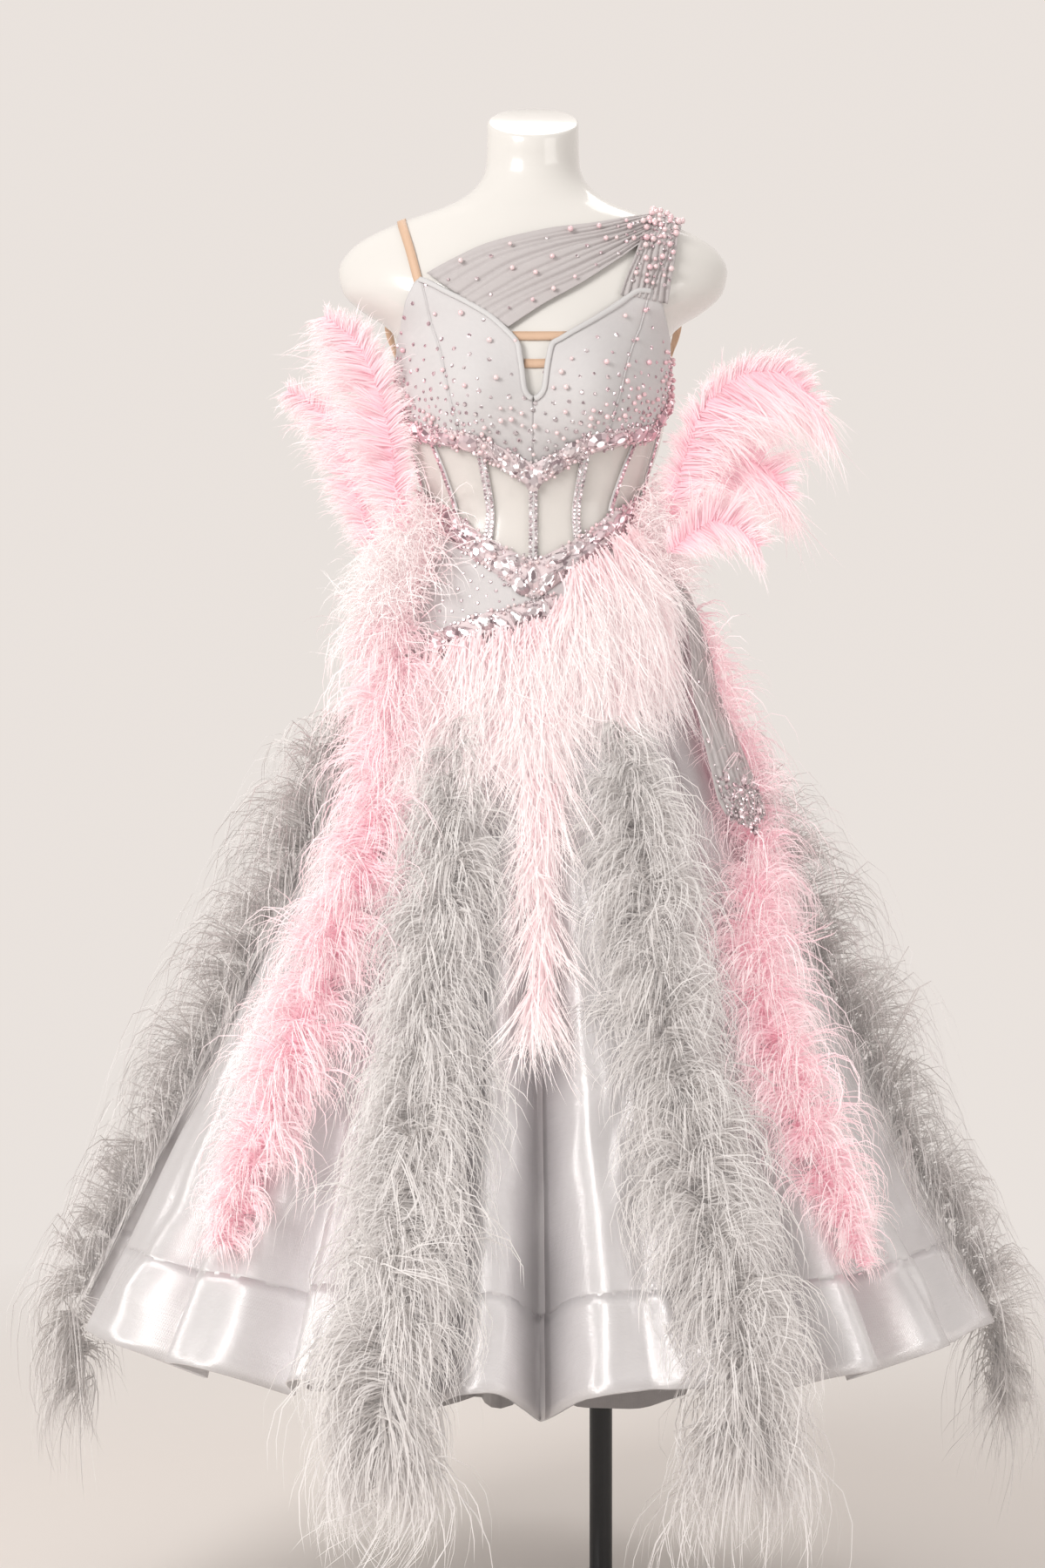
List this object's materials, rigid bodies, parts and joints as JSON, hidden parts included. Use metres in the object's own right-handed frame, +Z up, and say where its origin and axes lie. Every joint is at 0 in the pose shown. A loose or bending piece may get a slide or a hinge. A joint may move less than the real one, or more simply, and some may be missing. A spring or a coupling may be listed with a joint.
{
  "type": "ballroom dance dress on a limbless dress form with a pole stand",
  "caption": "Full-skirted ballroom dress in silver-grey satin with pink and grey feather trim, a jewelled sheer corset bodice and one draped shoulder, on a white dress form with a stand.",
  "frame": {"origin": "on the floor, under the middle of the dress form, at the centre of the base's underside", "axes": "+Z up, the front of the dress faces -Y, +X to the right of someone facing the dress"},
  "size_m": [1.0625, 1.0165, 1.6765],
  "materials": {
    "form": "glossy white lacquer",
    "pole": "black satin paint",
    "base": "brushed",
    "crepe": "matt silver-grey crepe, fine knit",
    "mesh": "sheer ivory stretch mesh",
    "crystal": "pink and clear faceted stones and pearls on a close ground",
    "chiffon": "mauve-grey pleated chiffon",
    "elastic": "nude elastic",
    "satin": "silver-grey satin, soft shine",
    "organza": "brownish-grey organza",
    "pink_feather": "fluffy ostrich feather",
    "blush_feather": "fine ostrich fringe",
    "grey_feather": "curled ostrich feather"
  },
  "bodies": {
    "root": {"form": "form", "stand_pole": "pole", "stand_base": "base", "stand_flange": "base", "cup_side_left": "crepe", "cup_side_right": "crepe", "cup_centre_left": "crepe", "cup_centre_right": "crepe", "bodice_back": "crepe", "yoke_front": "crepe", "yoke_back": "crepe", "binding_left": "crepe", "binding_right": "crepe", "midriff_front": "mesh", "midriff_back": "mesh", "boning_side_left": "crystal", "boning_outer_left": "crystal", "boning_inner_left": "crystal", "boning_centre": "crystal", "boning_inner_right": "crystal", "boning_outer_right": "crystal", "boning_side_right": "crystal", "bust_band": "crystal", "belt_band": "crystal", "hip_band": "crystal", "shoulder_knot": "crystal", "drape_chest": "chiffon", "drape_shoulder": "chiffon", "float_hip": "chiffon", "keyhole_bar_upper": "elastic", "keyhole_bar_lower": "elastic", "strap_left": "elastic", "strap_right": "elastic", "skirt_front_left": "satin", "skirt_front_right": "satin", "skirt_back_right": "satin", "skirt_back_left": "satin", "hem_front_left": "satin", "hem_front_right": "satin", "hem_back_right": "satin", "hem_back_left": "satin", "petticoat": "organza", "boa_pink_left": "pink_feather", "boa_pink_right": "pink_feather", "boa_pink_back_left": "pink_feather", "boa_pink_back_right": "pink_feather", "tuft_left": "pink_feather", "tuft_right": "pink_feather", "plume_left_tall": "pink_feather", "plume_left_low": "pink_feather", "plume_right_tall": "pink_feather", "plume_right_middle": "pink_feather", "plume_right_low": "pink_feather", "fringe_front": "blush_feather", "boa_grey_far_left": "grey_feather", "boa_grey_left": "grey_feather", "boa_grey_right": "grey_feather", "boa_grey_far_right": "grey_feather", "boa_grey_back": "grey_feather"}
  },
  "joints": []
}
